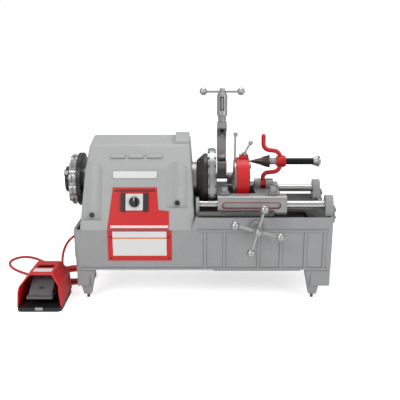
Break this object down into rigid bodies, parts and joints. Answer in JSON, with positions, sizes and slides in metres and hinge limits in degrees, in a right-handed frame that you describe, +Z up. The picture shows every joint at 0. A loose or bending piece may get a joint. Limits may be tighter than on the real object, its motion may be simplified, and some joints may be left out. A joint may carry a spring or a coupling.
{
  "type": "pipe threading machine",
  "caption": "Bench pipe threading machine: hooded headstock with hammer chuck, carriage on rails with cutter, die head and reamer, star handwheel, corded foot switch.",
  "frame": {"origin": "centre of the four stand studs, at their tips, where the machine stands", "axes": "+X along the spindle from the headstock towards the carriage end, +Y from the operator to the back, +Z up"},
  "size_m": [1.2478, 0.5066, 0.7068],
  "materials": {
    "cast_paint_base": "satin",
    "cast_paint_hood": "satin",
    "bright_steel": "bright turned",
    "polished_rail": "polished",
    "dark_steel": "oiled",
    "brown_black_cast": "painted satin",
    "black_paint": "semi-gloss",
    "red_paint": "satin",
    "white_plate": "satin",
    "black_plastic": "satin",
    "grey_cast": "machined and cast",
    "gear_steel": "oiled",
    "bronze": "plain",
    "red_cord": "satin",
    "pedal_grey": "matte"
  },
  "bodies": {
    "frame": {"base_casting": "cast_paint_base", "stand_studs": "dark_steel", "oil_sump": "black_paint", "chip_tray": "dark_steel", "end_cover": "black_plastic", "fasteners": "black_paint", "hood": "cast_paint_hood", "front_labels": "red_paint", "faceplates": "white_plate", "switch_housing": "black_plastic", "guide_rails": "polished_rail", "rail_mounts": "cast_paint_base", "headstock_plates": "grey_cast", "shaft_bearings": "bronze", "motor_body": "black_paint", "oil_pump": "grey_cast", "foot_switch_base": "black_plastic", "foot_switch_guard": "red_paint", "cord_lead": "red_cord", "cord_tail": "red_cord", "cord_coil": "red_cord"},
    "spindle_unit": {"spindle": "bright_steel", "spindle_gear": "gear_steel", "chuck_body": "brown_black_cast", "rear_centring_body": "black_paint"},
    "chuck_wheel": {"hammer_wheel": "bright_steel"},
    "centring_wheel": {"rear_centring_wheel": "bright_steel"},
    "counter_unit": {"counter_shaft": "gear_steel"},
    "motor_unit": {"motor_rotor": "gear_steel"},
    "carriage_unit": {"carriage": "grey_cast", "tool_shafts": "bright_steel", "rest_posts": "grey_cast", "rack_bar": "dark_steel"},
    "handwheel_unit": {"hand_pinion": "bright_steel", "star_handwheel": "bright_steel"},
    "cutter_unit": {"cutter_frame": "grey_cast", "cutter_rollers_block": "dark_steel"},
    "roller_front": {"cutter_roller_front": "bright_steel"},
    "roller_rear": {"cutter_roller_rear": "bright_steel"},
    "cutter_slide": {"cutter_wheel_block": "dark_steel"},
    "cutting_wheel": {"cutter_wheel": "bright_steel"},
    "feed_unit": {"feed_screw": "bright_steel"},
    "die_head_unit": {"die_head": "red_paint", "die_cover_plate": "dark_steel"},
    "die_cam": {"die_cam_lever": "bright_steel"},
    "die_lock": {"die_lock_lever": "bright_steel"},
    "reamer_unit": {"reamer_arm": "red_paint"},
    "reamer_shaft_unit": {"reamer_cone": "dark_steel"},
    "power_knob": {"switch_knob": "black_plastic"},
    "pedal_unit": {"foot_pedal": "pedal_grey"},
    "chuck_jaw_1": {"chuck_jaw_1": "dark_steel"},
    "chuck_jaw_2": {"chuck_jaw_2": "dark_steel"},
    "chuck_jaw_3": {"chuck_jaw_3": "dark_steel"},
    "rear_jaw_1": {"rear_jaw_1": "dark_steel"},
    "rear_jaw_2": {"rear_jaw_2": "dark_steel"},
    "rear_jaw_3": {"rear_jaw_3": "dark_steel"},
    "die_1_unit": {"die_1": "dark_steel"},
    "die_2_unit": {"die_2": "dark_steel"},
    "die_3_unit": {"die_3": "dark_steel"},
    "die_4_unit": {"die_4": "dark_steel"}
  },
  "joints": [
    {"name": "spindle_spin", "type": "hinge", "parent": "frame", "child": "spindle_unit", "pos_m": [0, 0, 0.394], "axis": [1, 0, 0], "continuous": true},
    {"name": "counter_spin", "type": "hinge", "parent": "frame", "child": "counter_unit", "pos_m": [0, 0.061, 0.30246], "axis": [1, 0, 0], "continuous": true},
    {"name": "motor_spin", "type": "hinge", "parent": "frame", "child": "motor_unit", "pos_m": [0, 0.093, 0.25289], "axis": [1, 0, 0], "continuous": true},
    {"name": "chuck_wheel_turn", "type": "hinge", "parent": "spindle_unit", "child": "chuck_wheel", "pos_m": [0.04, 0, 0.394], "axis": [1, 0, 0], "range_deg": [0, 200]},
    {"name": "centring_wheel_turn", "type": "hinge", "parent": "spindle_unit", "child": "centring_wheel", "pos_m": [-0.443, 0, 0.394], "axis": [1, 0, 0], "range_deg": [0, 200]},
    {"name": "chuck_jaw_1_slide", "type": "slide", "parent": "spindle_unit", "child": "chuck_jaw_1", "axis": [0, 0, -1], "range_m": [0, 0.024]},
    {"name": "chuck_jaw_2_slide", "type": "slide", "parent": "spindle_unit", "child": "chuck_jaw_2", "axis": [0, 0.866, 0.5], "range_m": [0, 0.024]},
    {"name": "chuck_jaw_3_slide", "type": "slide", "parent": "spindle_unit", "child": "chuck_jaw_3", "axis": [0, -0.866, 0.5], "range_m": [0, 0.024]},
    {"name": "rear_jaw_1_slide", "type": "slide", "parent": "spindle_unit", "child": "rear_jaw_1", "axis": [0, 0.866, -0.5], "range_m": [0, 0.024]},
    {"name": "rear_jaw_2_slide", "type": "slide", "parent": "spindle_unit", "child": "rear_jaw_2", "axis": [0, 0, 1], "range_m": [0, 0.024]},
    {"name": "rear_jaw_3_slide", "type": "slide", "parent": "spindle_unit", "child": "rear_jaw_3", "axis": [0, -0.866, -0.5], "range_m": [0, 0.024]},
    {"name": "carriage_slide", "type": "slide", "parent": "frame", "child": "carriage_unit", "axis": [1, 0, 0], "range_m": [0, 0.13]},
    {"name": "handwheel_turn", "type": "hinge", "parent": "frame", "child": "handwheel_unit", "pos_m": [0.19, -0.23, 0.27], "axis": [0, 1, 0], "range_deg": [0, 298]},
    {"name": "cutter_swing", "type": "hinge", "parent": "carriage_unit", "child": "cutter_unit", "pos_m": [0.0826, 0.12, 0.374], "axis": [1, 0, 0], "range_deg": [0, 85.5]},
    {"name": "roller_front_spin", "type": "hinge", "parent": "cutter_unit", "child": "roller_front", "pos_m": [0.0826, 0.11166, 0.45072], "axis": [1, 0, 0], "continuous": true},
    {"name": "roller_rear_spin", "type": "hinge", "parent": "cutter_unit", "child": "roller_rear", "pos_m": [0.0826, 0.14154, 0.4481], "axis": [1, 0, 0], "continuous": true},
    {"name": "cutter_feed", "type": "slide", "parent": "cutter_unit", "child": "cutter_slide", "axis": [0, -0.0872, -0.9962], "range_m": [0, 0.024]},
    {"name": "cutting_wheel_spin", "type": "hinge", "parent": "cutter_slide", "child": "cutting_wheel", "pos_m": [0.0826, 0.13444, 0.53907], "axis": [1, 0, 0], "continuous": true},
    {"name": "feed_screw_turn", "type": "hinge", "parent": "cutter_slide", "child": "feed_unit", "pos_m": [0.0826, 0.14789, 0.69278], "axis": [0, -0.0872, -0.9962], "range_deg": [0, 2880]},
    {"name": "die_head_swing", "type": "hinge", "parent": "carriage_unit", "child": "die_head_unit", "pos_m": [0.15, 0.12, 0.374], "axis": [1, 0, 0], "range_deg": [-80, 0]},
    {"name": "die_throwout_turn", "type": "hinge", "parent": "die_head_unit", "child": "die_cam", "pos_m": [0.125, 0, 0.394], "axis": [1, 0, 0], "range_deg": [0, 25]},
    {"name": "die_1_slide", "type": "slide", "parent": "die_head_unit", "child": "die_1_unit", "axis": [0, -0.7071, 0.7071], "range_m": [0, 0.006]},
    {"name": "die_2_slide", "type": "slide", "parent": "die_head_unit", "child": "die_2_unit", "axis": [0, -0.7071, -0.7071], "range_m": [0, 0.006]},
    {"name": "die_3_slide", "type": "slide", "parent": "die_head_unit", "child": "die_3_unit", "axis": [0, 0.7071, -0.7071], "range_m": [0, 0.006]},
    {"name": "die_4_slide", "type": "slide", "parent": "die_head_unit", "child": "die_4_unit", "axis": [0, 0.7071, 0.7071], "range_m": [0, 0.006]},
    {"name": "die_lock_turn", "type": "hinge", "parent": "die_head_unit", "child": "die_lock", "pos_m": [0.158, 0, 0.482], "axis": [0, 0, 1], "range_deg": [-40, 40]},
    {"name": "reamer_swing", "type": "hinge", "parent": "carriage_unit", "child": "reamer_unit", "pos_m": [0.235, 0.075, 0.36], "axis": [1, 0, 0], "range_deg": [0, 70.5]},
    {"name": "reamer_latch_turn", "type": "hinge", "parent": "reamer_unit", "child": "reamer_shaft_unit", "pos_m": [0.3, 0.08217, 0.44199], "axis": [1, 0, 0], "range_deg": [-45, 45]},
    {"name": "power_knob_turn", "type": "hinge", "parent": "frame", "child": "power_knob", "pos_m": [-0.224, -0.13404, 0.344], "axis": [0, -0.9272, 0.3746], "range_deg": [-60, 60]},
    {"name": "pedal_press", "type": "hinge", "parent": "frame", "child": "pedal_unit", "pos_m": [-0.539, -0.13, 0.03], "axis": [1, 0, 0], "range_deg": [0, 8], "stiffness_Nm_per_rad": 6, "springref_deg": -14.32}
  ],
  "couplings": [
    {"joint": "counter_spin", "follows": "spindle_spin", "ratio": -4.5},
    {"joint": "motor_spin", "follows": "spindle_spin", "ratio": 14.464},
    {"joint": "chuck_jaw_1_slide", "follows": "chuck_wheel_turn", "m_per_rad": 0.006875},
    {"joint": "chuck_jaw_2_slide", "follows": "chuck_wheel_turn", "m_per_rad": 0.006875},
    {"joint": "chuck_jaw_3_slide", "follows": "chuck_wheel_turn", "m_per_rad": 0.006875},
    {"joint": "rear_jaw_1_slide", "follows": "centring_wheel_turn", "m_per_rad": 0.006875},
    {"joint": "rear_jaw_2_slide", "follows": "centring_wheel_turn", "m_per_rad": 0.006875},
    {"joint": "rear_jaw_3_slide", "follows": "centring_wheel_turn", "m_per_rad": 0.006875},
    {"joint": "handwheel_turn", "follows": "carriage_slide", "rad_per_m": 40},
    {"joint": "feed_screw_turn", "follows": "cutter_feed", "rad_per_m": 2094.4},
    {"joint": "die_1_slide", "follows": "die_throwout_turn", "m_per_rad": 0.01375},
    {"joint": "die_2_slide", "follows": "die_throwout_turn", "m_per_rad": 0.01375},
    {"joint": "die_3_slide", "follows": "die_throwout_turn", "m_per_rad": 0.01375},
    {"joint": "die_4_slide", "follows": "die_throwout_turn", "m_per_rad": 0.01375}
  ]
}
